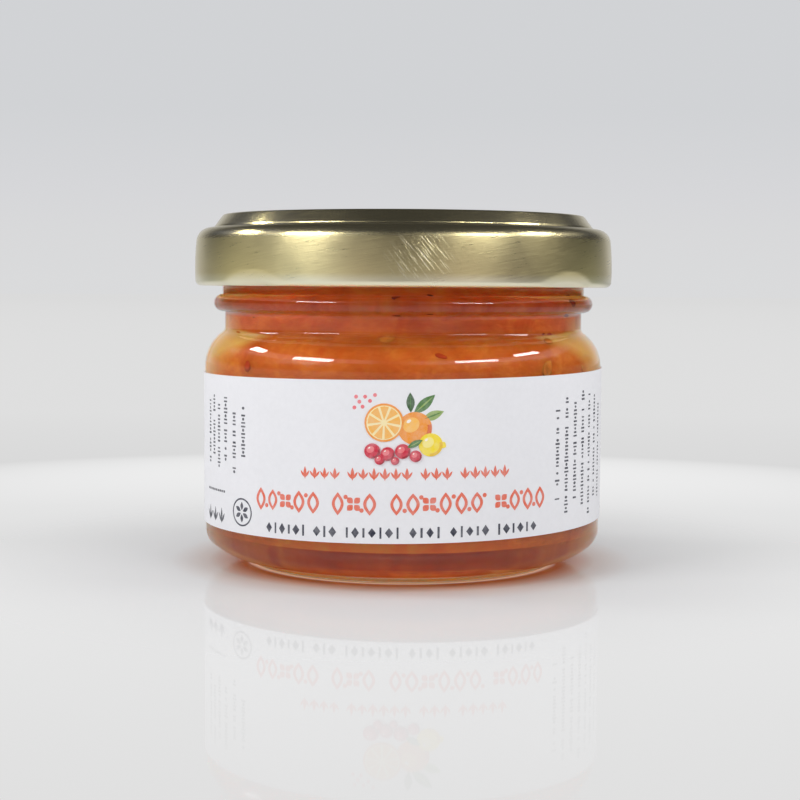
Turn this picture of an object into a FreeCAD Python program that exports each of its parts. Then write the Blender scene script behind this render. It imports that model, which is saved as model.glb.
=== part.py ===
"""A small squat glass jar of fruit compote with a twist-off cap and a wrapped paper label.

Frame: Z up, origin on the table under the middle of the jar, the front of the label towards -Y.
Every outline is drawn in the half plane of radius (sketch x) and height (sketch y).
"""
import FreeCAD, Part
import math
import os
import Sketcher

# ---------------------------------------------------------------- driving sizes (mm, degrees)
SIZES = [
    # glass: the finish (the part of the neck that the cap holds) sets every other radius
    ("finish_radius", 24.2),        # glass wall above the bead
    ("neck_step", 0.32),            # how far the neck lies inside the finish
    ("shoulder_step", 2.3),         # how far the body stands outside the finish
    ("wall", 2.6),                  # thickness of body and neck
    ("body_height", 26.2),          # top of the straight wall, where the shoulder starts
    ("shoulder_radius", 5.4),       # round of the shoulder
    ("neck_root_fillet", 0.5),      # hollow round where the shoulder meets the neck
    ("inner_lip", 1.5),             # round inside the glass, under the neck
    ("heel_width", 5.9),            # how far the heel turns in under the body
    ("heel_height", 4.6),
    ("heel_side_radius", 2.6),      # the tighter, upper round of the heel
    ("foot_height", 0.8),           # raised ring under the heel
    ("foot_round", 0.4),            # rounded outer edge of the foot ring
    ("foot_root", 0.25),            # hollow fillet between the foot ring and the heel
    ("foot_width", 1.0),            # flat ring that the jar stands on
    ("push_up", 1.2),               # hollow under the base
    ("base_thickness", 3.7),
    ("inner_dome", 0.7),            # rise of the floor inside
    ("inner_corner", 3.0),          # round between the floor and the wall inside
    ("bead_rise", 8.3),             # middle of the neck bead above the straight wall
    ("bead_radius", 1.15),
    ("finish_height", 11.29),       # from the middle of the bead to the rim
    ("rim_round", 1.0),
    # glass threads: four short ones, each caught by one lug of the cap
    ("thread_count", 4),
    ("thread_depth", 1.35),
    ("thread_base", 1.9),           # height of a thread at the wall
    ("thread_crest", 0.9),          # height of a thread at its crest
    ("thread_under", 0.25),         # rise of a thread's underside, from the wall to its crest
    ("thread_rise", 4.3),           # lowest underside of a thread above the bead's middle
    ("thread_pitch", 9.0),
    ("thread_turns", 0.19),
    ("thread_lead", 12.0),          # angle from a thread's low end to the lug under it
    ("thread_root", 0.4),           # how far a thread is sunk in the wall
    # cap: pressed sheet with a rolled edge, four lugs and a raised crown
    ("sheet", 0.24),
    ("curl_radius", 0.75),          # outer radius of the rolled edge
    ("curl_sweep", 240.0),          # how far round the edge is rolled
    ("thread_clearance", 0.75),     # rolled edge to thread crest
    ("skirt_lift", 2.2),            # lower edge of the cap above the bead's middle
    ("seat_clearance", 0.05),       # underside of the crown to the rim
    ("crown_height", 1.76),         # crown above the ledge
    ("crown_clearance", 1.1),       # foot of the crown outside the finish
    ("crown_batter", 1.0),          # how far the crown's side leans in
    ("crown_round", 0.45),
    ("cap_shoulder", 1.95),         # round between skirt and ledge
    ("panel_clearance", 0.7),       # middle panel inside the mouth
    ("panel_drop", 1.0),            # middle panel below the crown
    ("panel_slope", 0.6),
    ("lug_angle", 48.0),            # azimuth of the first lug, from +X towards +Y
    ("lug_half_angle", 17.0),
    ("lug_clearance", 0.6),         # lug tip to the finish
    ("lug_play", 0.15),             # lug top to the thread above it
    ("dent_depth", 0.75),           # flattened outside of a lug, at the lower edge
    ("dent_height", 2.0),
    # compote
    ("fill_rise", 12.0),            # level above the straight wall
    ("fill_clearance", 0.05),
    # label: paper wound on a little askew, with a gap at the back
    ("label_lower_margin", 1.4),    # edges of the label, in from the ends of the straight wall
    ("label_upper_margin", 0.5),
    ("label_paper", 0.12),
    ("label_glue", 0.05),           # between glass and paper
    ("label_wrap", 325.0),          # angle that the paper covers
    ("label_skew", 1.9),            # rise of the label's edges in a full turn
]

doc = FreeCAD.newDocument("compote_jar")
sheet = doc.addObject("Spreadsheet::Sheet", "sizes")


class Size:
    """A number together with the expression that gives it, so that a sketch is drawn and bound at once."""

    def __init__(self, value, text):
        self.value = value
        self.text = text

    def _join(self, other, sign, result):
        other_text = other.text if isinstance(other, Size) else repr(float(other))
        return Size(result, "(" + self.text + sign + other_text + ")")

    def __add__(self, other):
        return self._join(other, " + ", self.value + number(other))

    def __sub__(self, other):
        return self._join(other, " - ", self.value - number(other))

    def __mul__(self, other):
        return self._join(other, " * ", self.value * number(other))

    def __truediv__(self, other):
        return self._join(other, " / ", self.value / number(other))


def number(item):
    return item.value if isinstance(item, Size) else float(item)


def root(item):
    return Size(math.sqrt(item.value), "sqrt(" + item.text + ")")


def cosine(angle):
    return Size(math.cos(math.radians(angle.value)), "cos(" + angle.text + " * 1 deg)")


def sine(angle):
    return Size(math.sin(math.radians(angle.value)), "sin(" + angle.text + " * 1 deg)")


class Sizes:
    """The spreadsheet's cells by their aliases."""

    def __init__(self, rows):
        for row, (alias, value) in enumerate(rows, start=1):
            sheet.set("A%d" % row, alias)
            sheet.set("B%d" % row, str(value))
            sheet.setAlias("B%d" % row, alias)
            setattr(self, alias, Size(float(value), "sizes." + alias))


size = Sizes(SIZES)
doc.recompute()
ZERO = Size(0.0, "0")


# ---------------------------------------------------------------- drawing helpers
def new_body(label):
    body = doc.addObject("PartDesign::Body", label)
    body.Label = label
    return body


def origin_item(body, role):
    for item in body.Origin.OriginFeatures:
        if item.Role == role:
            return item
    raise RuntimeError("no origin item " + role)


class Turn:
    """An arc to the next corner: its radius, and whether it turns left (+1) or right (-1)."""

    def __init__(self, radius, side, large=False):
        self.radius = radius
        self.side = side
        self.large = large

    def curve(self, start, end):
        radius = self.radius.value
        chord = end - start
        half = chord.Length / 2
        across = math.sqrt(max(radius ** 2 - half ** 2, 0.0))
        left = FreeCAD.Vector(-chord.y, chord.x, 0).normalize()
        reach = -across if self.large else across
        centre = (start + end) * 0.5 + left * reach * self.side
        first = math.atan2(start.y - centre.y, start.x - centre.x)
        last = math.atan2(end.y - centre.y, end.x - centre.x)
        circle = Part.Circle(centre, FreeCAD.Vector(0, 0, 1), radius)
        if self.side > 0:
            return Part.ArcOfCircle(circle, first, last), 1, 2
        return Part.ArcOfCircle(circle, last, first), 2, 1


def outline(body, name, corners):
    """A closed sketch of lines and arcs: corners are (radius, height) or (radius, height, Turn),
    where the Turn is the arc that leads to the next corner."""
    sketch = body.newObject("Sketcher::SketchObject", name)
    sketch.AttachmentSupport = [(origin_item(body, "XZ_Plane"), "")]
    sketch.MapMode = "FlatFace"
    points = [FreeCAD.Vector(number(c[0]), number(c[1]), 0) for c in corners]
    ends = []
    for index, corner in enumerate(corners):
        start = points[index]
        end = points[(index + 1) % len(points)]
        if len(corner) == 3:
            curve, first, last = corner[2].curve(start, end)
            geometry = sketch.addGeometry(curve, False)
            radius = sketch.addConstraint(Sketcher.Constraint("Radius", geometry, corner[2].radius.value))
            sketch.setExpression("Constraints[%d]" % radius, corner[2].radius.text)
        else:
            geometry = sketch.addGeometry(Part.LineSegment(start, end), False)
            first, last = 1, 2
        ends.append((geometry, first, last))
    for index, (geometry, first, last) in enumerate(ends):
        before = ends[index - 1]
        sketch.addConstraint(Sketcher.Constraint("Coincident", before[0], before[2], geometry, first))
        for axis, along, item in ((-2, "DistanceX", corners[index][0]), (-1, "DistanceY", corners[index][1])):
            if number(item) == 0.0:
                sketch.addConstraint(Sketcher.Constraint("PointOnObject", geometry, first, axis))
                continue
            bound = sketch.addConstraint(Sketcher.Constraint(along, -1, 1, geometry, first, number(item)))
            sketch.setExpression("Constraints[%d]" % bound, item.text)
    return sketch


def turned(body, kind, name, sketch, angle=None):
    """A Revolution or Groove of the sketch about the jar's axis, whole or centred on its plane."""
    feature = body.newObject("PartDesign::" + kind, name)
    feature.Profile = sketch
    feature.ReferenceAxis = (sketch, ["V_Axis"])
    feature.Angle = 360.0
    if angle is not None:
        feature.setExpression("Angle", angle.text)
        feature.Midplane = True
    return feature


def wound(body, name, sketch, pitch, turns):
    """The sketch swept along a helix about the jar's axis."""
    feature = body.newObject("PartDesign::AdditiveHelix", name)
    feature.Profile = sketch
    feature.ReferenceAxis = (sketch, ["V_Axis"])
    feature.Mode = 1
    feature.setExpression("Pitch", pitch.text)
    feature.setExpression("Turns", turns.text)
    feature.Angle = 0.0
    feature.Growth = 0.0
    feature.LeftHanded = False
    feature.Reversed = False
    feature.HasBeenEdited = True
    return feature


def repeated(body, name, features, count):
    pattern = body.newObject("PartDesign::PolarPattern", name)
    pattern.Originals = features
    pattern.Axis = (origin_item(body, "Z_Axis"), [""])
    pattern.Angle = 360.0
    pattern.setExpression("Occurrences", count.text)
    body.Tip = pattern
    return pattern


def turn_about_axis(body, angle):
    """Turns the finished piece about Z."""
    body.setExpression(".Placement.Rotation.Angle", angle.text + " * 1 deg")


# ---------------------------------------------------------------- places that pieces share
neck_radius = size.finish_radius - size.neck_step
body_radius = size.finish_radius + size.shoulder_step
mouth_radius = size.finish_radius - size.wall
inner_radius = body_radius - size.wall
bead_height = size.body_height + size.bead_rise
rim_height = bead_height + size.finish_height
thread_foot = bead_height + size.thread_rise
cap_foot = bead_height + size.skirt_lift
cap_top = rim_height + size.seat_clearance + size.sheet
cap_radius = size.finish_radius + size.thread_depth + size.thread_clearance + size.curl_radius * 2
fill_level = size.body_height + size.fill_rise


def cap_over(width, rise):
    """The radius of the shallow arc that rises by `rise` over the half width `width`."""
    return (width * width + rise * rise) / (rise * 2)


# ---------------------------------------------------------------- glass jar
def heel_corners():
    """The foot ring, and a heel of two arcs that share a tangent and make a flat oval round."""
    foot_radius = body_radius - size.heel_width
    heel_rise = size.heel_height - size.foot_height
    lower = ((size.heel_width * size.heel_width + heel_rise * heel_rise
              - size.heel_width * size.heel_side_radius * 2)
             / ((heel_rise - size.heel_side_radius) * 2))
    lower_z = size.foot_height + lower
    share = size.heel_side_radius / (lower - size.heel_side_radius)
    side_centre = body_radius - size.heel_side_radius
    joint_x = side_centre + (side_centre - foot_radius) * share
    joint_z = size.heel_height - (lower_z - size.heel_height) * share
    reach = lower + size.foot_root
    root_z = lower_z - root(reach * reach - size.foot_root * size.foot_root)
    root_share = lower / reach
    return [
        (foot_radius - size.foot_round - size.foot_width, ZERO),
        (foot_radius - size.foot_round, ZERO, Turn(size.foot_round, 1)),
        (foot_radius, size.foot_round),
        (foot_radius, root_z, Turn(size.foot_root, -1)),
        (foot_radius + size.foot_root * root_share, lower_z + (root_z - lower_z) * root_share, Turn(lower, 1)),
        (joint_x, joint_z, Turn(size.heel_side_radius, 1)),
        (body_radius, size.heel_height),
    ]


def shoulder_corners():
    """The shoulder's round, and the hollow fillet at the foot of the neck."""
    centre_x = body_radius - size.shoulder_radius
    reach = size.shoulder_radius + size.neck_root_fillet
    fillet_x = neck_radius + size.neck_root_fillet
    across = fillet_x - centre_x
    rise = root(reach * reach - across * across)
    share = size.shoulder_radius / reach
    return [
        (body_radius, size.body_height, Turn(size.shoulder_radius, 1)),
        (centre_x + across * share, size.body_height + rise * share, Turn(size.neck_root_fillet, -1)),
        (neck_radius, size.body_height + rise),
    ]


def finish_corners():
    """The bead on the neck, the wall above it, and the rounded rim."""
    bead_foot = bead_height - root(size.bead_radius * size.bead_radius - size.neck_step * size.neck_step)
    return [
        (neck_radius, bead_foot, Turn(size.bead_radius, 1, large=True)),
        (size.finish_radius, bead_height + size.bead_radius),
        (size.finish_radius, rim_height - size.rim_round, Turn(size.rim_round, 1)),
        (size.finish_radius - size.rim_round, rim_height),
        (mouth_radius + size.rim_round, rim_height, Turn(size.rim_round, 1)),
        (mouth_radius, rim_height - size.rim_round),
    ]


def inside_corners(gap):
    """The inside of the jar from the middle of its floor to the foot of the neck, `gap` clear of the glass."""
    wall_x = inner_radius - gap
    corner = size.inner_corner - gap
    floor_x = wall_x - corner
    floor_z = size.base_thickness + gap
    lower = size.shoulder_radius - size.wall - gap
    upper = size.inner_lip + gap
    mouth_x = mouth_radius - gap
    reach = lower + upper
    across = wall_x - lower - mouth_x - upper
    rise = root(reach * reach - across * across)
    share = lower / reach
    return [
        (ZERO, floor_z + size.inner_dome, Turn(cap_over(floor_x, size.inner_dome), -1)),
        (floor_x, floor_z, Turn(corner, 1)),
        (wall_x, floor_z + corner),
        (wall_x, size.body_height, Turn(lower, 1)),
        (wall_x - lower - across * share, size.body_height + rise * share, Turn(upper, -1)),
        (mouth_x, size.body_height + rise),
    ]


def make_jar():
    body = new_body("glass_jar")
    foot_inside = body_radius - size.heel_width - size.foot_round - size.foot_width
    gob = [(ZERO, size.push_up, Turn(cap_over(foot_inside, size.push_up), -1))]
    gob += heel_corners() + shoulder_corners() + finish_corners()
    gob += [(ZERO, rim_height - size.rim_round)]
    turned(body, "Revolution", "jar_outside", outline(body, "jar_outside_outline", gob))
    cavity = inside_corners(ZERO) + [(mouth_radius, rim_height), (ZERO, rim_height)]
    turned(body, "Groove", "jar_inside", outline(body, "jar_inside_outline", cavity))
    root_x = size.finish_radius - size.thread_root
    crest_x = size.finish_radius + size.thread_depth
    section = [
        (root_x, thread_foot),
        (crest_x, thread_foot + size.thread_under),
        (crest_x, thread_foot + size.thread_under + size.thread_crest),
        (root_x, thread_foot + size.thread_base),
    ]
    sketch = outline(body, "thread_outline", section)
    thread = wound(body, "thread", sketch, size.thread_pitch, size.thread_turns)
    repeated(body, "threads", [thread], size.thread_count)
    turn_about_axis(body, size.lug_angle - size.thread_lead)
    return body


# ---------------------------------------------------------------- compote
def make_compote():
    body = new_body("fruit_dessert")
    gap = size.fill_clearance
    mouth_x = mouth_radius - gap
    corners = inside_corners(gap) + [(mouth_x, fill_level), (ZERO, fill_level)]
    turned(body, "Revolution", "filling", outline(body, "filling_outline", corners))
    return body


# ---------------------------------------------------------------- cap
def cap_corners():
    """The sheet's outside from the middle of the panel to the rolled edge, then its inside back again."""
    thick = size.sheet
    ledge = cap_top - size.crown_height
    crown_foot = size.finish_radius + size.crown_clearance
    crown_edge = crown_foot - size.crown_batter
    crown_inside = mouth_radius - size.panel_clearance
    panel_edge = crown_inside - size.panel_slope
    panel_top = cap_top - size.panel_drop
    shoulder_x = cap_radius - size.cap_shoulder
    curl_x = cap_radius - size.curl_radius
    curl_z = cap_foot + size.curl_radius
    inner_curl = size.curl_radius - thick
    end_x = cosine(size.curl_sweep)
    end_z = sine(size.curl_sweep)
    return [
        (ZERO, panel_top),
        (ZERO, panel_top - thick),
        (panel_edge + thick, panel_top - thick),
        (crown_inside + thick, cap_top - thick),
        (crown_edge - size.crown_round, cap_top - thick, Turn(size.crown_round, -1)),
        (crown_edge - thick, cap_top - size.crown_round - thick),
        (crown_foot - thick, ledge - thick),
        (shoulder_x, ledge - thick, Turn(size.cap_shoulder - thick, -1)),
        (cap_radius - thick, ledge - size.cap_shoulder),
        (cap_radius - thick, curl_z, Turn(inner_curl, -1, large=True)),
        (curl_x + inner_curl * end_x, curl_z - inner_curl * end_z),
        (curl_x + size.curl_radius * end_x, curl_z - size.curl_radius * end_z,
         Turn(size.curl_radius, 1, large=True)),
        (cap_radius, curl_z),
        (cap_radius, ledge - size.cap_shoulder, Turn(size.cap_shoulder, 1)),
        (shoulder_x, ledge),
        (crown_foot, ledge),
        (crown_edge, cap_top - size.crown_round, Turn(size.crown_round, 1)),
        (crown_edge - size.crown_round, cap_top),
        (crown_inside, cap_top),
        (panel_edge, panel_top),
    ]


def make_cap():
    body = new_body("lid")
    turned(body, "Revolution", "cap_sheet", outline(body, "cap_outline", cap_corners()))
    lug_top = thread_foot - size.lug_play
    tip_x = size.finish_radius + size.lug_clearance
    back_x = cap_radius - size.sheet / 2
    block = [(tip_x, cap_foot), (back_x, cap_foot), (back_x, lug_top), (tip_x, lug_top)]
    lug = turned(body, "Revolution", "lug", outline(body, "lug_outline", block), size.lug_half_angle * 2)
    wedge = [
        (cap_radius - size.dent_depth, cap_foot),
        (cap_radius + size.dent_depth, cap_foot - size.dent_height),
        (cap_radius + size.dent_depth, cap_foot + size.dent_height),
        (cap_radius, cap_foot + size.dent_height),
    ]
    dent = body.newObject("PartDesign::Pocket", "dent")
    dent.Profile = outline(body, "dent_outline", wedge)
    dent.Midplane = True
    dent.setExpression("Length", cap_radius.text)
    repeated(body, "lugs", [lug, dent], size.thread_count)
    turn_about_axis(body, size.lug_angle)
    return body


# ---------------------------------------------------------------- label
def make_label():
    body = new_body("label")
    inside = body_radius + size.label_glue
    outside = inside + size.label_paper
    turns = size.label_wrap / 360
    start = size.label_skew * turns / 2
    foot = size.heel_height + size.label_lower_margin - start
    top = size.body_height - size.label_upper_margin - start
    strip = [(inside, foot), (outside, foot), (outside, top), (inside, top)]
    wound(body, "paper", outline(body, "paper_outline", strip), size.label_skew, turns)
    turn_about_axis(body, Size(-90.0, "-90") - size.label_wrap / 2)
    return body


# ---------------------------------------------------------------- build, check, write
def check(bodies):
    for item in doc.Objects:
        if "Invalid" in item.State or "Error" in item.State:
            raise RuntimeError("failed: " + item.Name)
    for body in bodies:
        if body.Shape.isNull() or not body.Shape.isValid() or len(body.Shape.Solids) != 1:
            raise RuntimeError("bad shape: " + body.Label)


bodies = [make_jar(), make_compote(), make_cap(), make_label()]
doc.recompute()
check(bodies)
os.makedirs("parts", exist_ok=True)
for body in bodies:
    box = body.Shape.BoundBox
    print("%-14s %8.1f mm3  z %.2f to %.2f  across %.2f" % (
        body.Label, body.Shape.Volume, box.ZMin, box.ZMax, box.XLength))
    body.Shape.exportStep("parts/" + body.Label + ".step")
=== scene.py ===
import math

import bmesh
import bpy
import numpy as np
from mathutils import Matrix, Vector, noise


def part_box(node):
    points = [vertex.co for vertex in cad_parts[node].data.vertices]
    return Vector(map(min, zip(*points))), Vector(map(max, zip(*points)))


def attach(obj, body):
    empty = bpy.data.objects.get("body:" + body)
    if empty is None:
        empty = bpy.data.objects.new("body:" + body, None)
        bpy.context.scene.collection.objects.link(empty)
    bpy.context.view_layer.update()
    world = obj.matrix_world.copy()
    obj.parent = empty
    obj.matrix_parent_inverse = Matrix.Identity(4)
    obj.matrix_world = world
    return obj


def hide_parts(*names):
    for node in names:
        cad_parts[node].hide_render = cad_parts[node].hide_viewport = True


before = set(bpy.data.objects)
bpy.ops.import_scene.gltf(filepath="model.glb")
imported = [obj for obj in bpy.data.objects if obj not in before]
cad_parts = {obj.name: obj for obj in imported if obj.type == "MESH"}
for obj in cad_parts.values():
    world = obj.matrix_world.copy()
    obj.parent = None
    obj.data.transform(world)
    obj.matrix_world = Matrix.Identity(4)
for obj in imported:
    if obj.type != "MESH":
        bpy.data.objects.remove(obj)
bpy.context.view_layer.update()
mm = 0.001
scene = bpy.context.scene
scene.view_settings.view_transform = "Standard"

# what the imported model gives, in millimetres
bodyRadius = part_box("glass_jar")[1].x / mm
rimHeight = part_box("glass_jar")[1].z / mm
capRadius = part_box("lid")[1].x / mm
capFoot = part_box("lid")[0].z / mm
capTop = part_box("lid")[1].z / mm
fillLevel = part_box("fruit_dessert")[1].z / mm
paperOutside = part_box("label")[1].x / mm


# nodes
class NodeMaker:
    # adds nodes to one tree; an input, by name or number, is a value or a socket to link
    def __init__(self, tree):
        self.tree = tree

    def add(self, kind, inputs=None, **settings):
        node = self.tree.nodes.new(kind)
        for name, value in settings.items():
            setattr(node, name, value)
        for name, value in (inputs or {}).items():
            if isinstance(value, bpy.types.NodeSocket):
                self.tree.links.new(value, node.inputs[name])
            else:
                node.inputs[name].default_value = value
        return node

    def out(self, kind, inputs=None, **settings):
        return self.add(kind, inputs, **settings).outputs

    def maths(self, operation, *values):
        return self.out("ShaderNodeMath", dict(enumerate(values)), operation=operation)[0]

    def plus(self, first, second):
        return self.maths("ADD", first, second)

    def minus(self, first, second):
        return self.maths("SUBTRACT", first, second)

    def times(self, first, second):
        return self.maths("MULTIPLY", first, second)

    def blend(self, first, share, second, otherShare):
        return self.plus(self.times(first, share), self.times(second, otherShare))

    def ranged(self, value, low, high, start=0.0, end=1.0, smooth=False):
        # from low to high the value runs from start to end
        inputs = {"Value": value, "From Min": low, "From Max": high, "To Min": start, "To Max": end}
        kind = "SMOOTHSTEP" if smooth else "LINEAR"
        return self.out("ShaderNodeMapRange", inputs, interpolation_type=kind)[0]

    def vectors(self, operation, inputs):
        return self.out("ShaderNodeVectorMath", inputs, operation=operation)

    def length(self, place):
        return self.vectors("LENGTH", {0: place})["Value"]

    def vector(self, x, y, z):
        return self.out("ShaderNodeCombineXYZ", {"X": x, "Y": y, "Z": z})[0]

    def parts(self, place):
        return self.out("ShaderNodeSeparateXYZ", {0: place})

    def azimuth(self, parts):
        # from the front towards +X
        return self.maths("ARCTAN2", parts["X"], self.times(parts["Y"], -1.0))

    def mapped(self, place, scale=(1, 1, 1), turn=(0, 0, 0)):
        return self.out("ShaderNodeMapping", {"Vector": place, "Scale": scale, "Rotation": turn})[0]

    def point(self, scale=(1, 1, 1), turn=(0, 0, 0)):
        return self.mapped(self.out("ShaderNodeTexCoord")["Object"], scale, turn)

    def noise(self, place, scale, detail=2.0, roughness=0.5, distortion=0.0):
        return self.out("ShaderNodeTexNoise", {"Vector": place, "Scale": scale, "Detail": detail,
                                               "Roughness": roughness, "Distortion": distortion})["Fac"]

    def ramp(self, factor, stops):
        node = self.add("ShaderNodeValToRGB", {"Fac": factor})
        elements = node.color_ramp.elements
        while len(elements) < len(stops):
            elements.new(0.5)
        for element, (place, colour) in zip(elements, stops):
            element.position = place
            element.color = (*colour, 1.0)
        return node.outputs["Color"]

    def mix(self, factor, first, second, blend="MIX"):
        first, second = [c if isinstance(c, bpy.types.NodeSocket) else (*c, 1.0) for c in (first, second)]
        inputs = {0: factor, 6: first, 7: second}
        return self.out("ShaderNodeMix", inputs, data_type="RGBA", blend_type=blend)[2]

    def bump(self, height, strength, distance):
        inputs = {"Strength": strength, "Distance": distance * mm, "Height": height}
        return self.out("ShaderNodeBump", inputs)[0]

    def instances(self, points, mark, **more):
        return self.out("GeometryNodeInstanceOnPoints", {"Points": points, "Instance": mark, **more})[0]

    def shapeOf(self, mark):
        return self.out("GeometryNodeObjectInfo", {"Object": mark})["Geometry"]

    def group(self, tree, inputs):
        return self.out("ShaderNodeGroup", inputs, node_tree=tree)

    def surface(self, shader):
        self.add("ShaderNodeOutputMaterial", {"Surface": shader})

    def principled(self, inputs):
        self.surface(self.out("ShaderNodeBsdfPrincipled", inputs)[0])

    def coated(self, geometry, material):
        # the end of a geometry tree
        real = self.out("GeometryNodeRealizeInstances", {"Geometry": geometry})[0]
        painted = self.out("GeometryNodeSetMaterial", {"Geometry": real, "Material": material})[0]
        self.add("NodeGroupOutput", {"Geometry": painted})
        return self.tree


def grey(level):
    return (level, level, level)


def scaled(values, share):
    return tuple(value * share for value in values)


def newMaterial(name):
    material = bpy.data.materials.new(name)
    material.use_nodes = True
    material.node_tree.nodes.clear()
    return material, NodeMaker(material.node_tree)


def newGroup(kind, name, inputs, outputs):
    # inputs and outputs: each name with its kind of socket
    tree = bpy.data.node_groups.new(name, kind)
    for side, sockets in (("INPUT", inputs), ("OUTPUT", outputs)):
        for label, socket in sockets.items():
            tree.interface.new_socket(label, in_out=side, socket_type="NodeSocket" + socket)
    make = NodeMaker(tree)
    return make, make.out("NodeGroupInput")


def newGeometryTree(name, inputs):
    return newGroup("GeometryNodeTree", name, {**inputs, "Material": "Material"}, {"Geometry": "Geometry"})


# meshes and pieces
def newObject(name, mesh, material=None):
    piece = bpy.data.objects.new(name, mesh)
    scene.collection.objects.link(piece)
    if material:
        mesh.materials.clear()
        mesh.materials.append(material)
    return piece


def meshOf(name, work):
    mesh = bpy.data.meshes.new(name)
    work.to_mesh(mesh)
    work.free()
    return mesh


def smoothFaces(mesh):
    mesh.polygons.foreach_set("use_smooth", [True] * len(mesh.polygons))


def turnOutwards(mesh):
    work = bmesh.new()
    work.from_mesh(mesh)
    bmesh.ops.remove_doubles(work, verts=work.verts, dist=1e-7)
    bmesh.ops.recalc_face_normals(work, faces=work.faces)
    work.to_mesh(mesh)
    work.free()


def settle(piece, node):
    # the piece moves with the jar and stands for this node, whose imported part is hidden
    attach(piece, "root")
    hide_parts(node)
    print(piece.name, len(piece.data.polygons), "faces")
    return piece


def runNodes(name, mesh, tree, inputs):
    # the tree's result as a plain mesh in an object of its own
    carrier = newObject(name + "Carrier", mesh)
    modifier = carrier.modifiers.new("nodes", "NODES")
    modifier.node_group = tree
    for item in tree.interface.items_tree:
        if item.item_type == "SOCKET" and item.in_out == "INPUT" and item.name in inputs:
            modifier[item.identifier] = inputs[item.name]
    bpy.context.view_layer.update()
    made = bpy.data.meshes.new_from_object(carrier.evaluated_get(bpy.context.evaluated_depsgraph_get()))
    carrier.modifiers.remove(modifier)
    bpy.data.objects.remove(carrier)
    made.name = name
    return newObject(name, made)


# outlines in the half plane of radius and height (mm)
def arc(centre, radius, first, last, count):
    turns = np.radians(np.linspace(first, last, count))
    return [(centre[0] + radius * math.cos(t), centre[1] + radius * math.sin(t)) for t in turns]


def line(start, end, count):
    return [tuple(p) for p in np.linspace(start, end, count)]


def bearing(centre, point):
    return math.degrees(math.atan2(point[1] - centre[1], point[0] - centre[0]))


def joinStretches(*stretches):
    points = []
    for stretch in stretches:
        for point in stretch:
            if not points or math.dist(point, points[-1]) > 1e-4:
                points.append(point)
    return points


def makeTurningTree():
    # an outline turned about the axis
    make, given = newGeometryTree("turnedOutline", {"Outline": "Geometry", "Columns": "Int"})
    outline = given["Outline"]
    rows = make.out("GeometryNodeAttributeDomainSize", {"Geometry": outline})["Point Count"]
    rim = make.plus(given["Columns"], 1.0)
    grid = make.out("GeometryNodeMeshGrid", {"Vertices X": rows, "Vertices Y": rim})["Mesh"]
    index = make.out("GeometryNodeInputIndex")[0]
    row = make.maths("FLOOR", make.maths("DIVIDE", make.plus(index, 0.5), rim))
    column = make.minus(index, make.times(row, rim))
    turn = make.times(make.maths("DIVIDE", column, given["Columns"]), math.tau)
    place = make.out("GeometryNodeInputPosition")[0]
    point = make.out("GeometryNodeSampleIndex", {"Geometry": outline, "Value": place, "Index": row},
                     data_type="FLOAT_VECTOR", domain="POINT")[0]
    turned = make.out("ShaderNodeVectorRotate", {"Vector": point, "Angle": turn}, rotation_type="Z_AXIS")[0]
    shaped = make.out("GeometryNodeSetPosition", {"Geometry": grid, "Position": turned})[0]
    closed = make.out("GeometryNodeMergeByDistance", {"Geometry": shaped, "Distance": 1e-6})[0]
    return make.coated(closed, given["Material"])


turningTree = makeTurningTree()


def turnOutline(name, points, columns, material):
    mesh = bpy.data.meshes.new(name + "Outline")
    edges = [(i, i + 1) for i in range(len(points) - 1)]
    mesh.from_pydata([(r * mm, 0, z * mm) for r, z in points], edges, [])
    return runNodes(name, mesh, turningTree, {"Columns": columns, "Material": material})


def reshape(piece, rule):
    # moves the points by a rule on radius, azimuth from the front (radians) and height, all in mm
    mesh = piece.data
    places = np.zeros(len(mesh.vertices) * 3)
    mesh.vertices.foreach_get("co", places)
    places = places.reshape(-1, 3) / mm
    radius = np.hypot(places[:, 0], places[:, 1])
    azimuth = np.arctan2(places[:, 0], -places[:, 1])
    radius, azimuth, height = rule(radius, azimuth, places[:, 2].copy())
    places = np.stack([radius * np.sin(azimuth), -radius * np.cos(azimuth), height], 1) * mm
    mesh.vertices.foreach_set("co", places.ravel())
    turnOutwards(mesh)
    smoothFaces(mesh)


# shared shader groups
def makeHandling():
    # faint smears and dust: a roughness that wanders between two values
    make, given = newGroup("ShaderNodeTree", "handling",
                           {"Size": "Float", "Clean": "Float", "Smeared": "Float"}, {"Roughness": "Float"})
    place = make.point()
    broad = make.noise(place, given["Size"], 5.0, 0.62, 0.6)
    fine = make.noise(place, 1900.0)
    mask = make.ranged(make.blend(broad, 0.8, fine, 0.2), 0.42, 0.66)
    make.add("NodeGroupOutput", {"Roughness": make.ranged(mask, 0.0, 1.0, given["Clean"], given["Smeared"])})
    return make.tree


def makeAroundPoint():
    # a place by its arc length round the axis (at this radius) and its height less its distance from the axis
    make, given = newGroup("ShaderNodeTree", "aroundPoint", {"Radius": "Float"},
                           {"Vector": "Vector", "Height": "Float"})
    parts = make.parts(make.out("ShaderNodeTexCoord")["Object"])
    across = make.length(make.point((1, 1, 0)))
    flat = make.vector(make.times(make.azimuth(parts), given["Radius"]), make.minus(parts["Z"], across), 0.0)
    make.add("NodeGroupOutput", {"Vector": flat, "Height": parts["Z"]})
    return make.tree


handling = makeHandling()
aroundPoint = makeAroundPoint()


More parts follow.
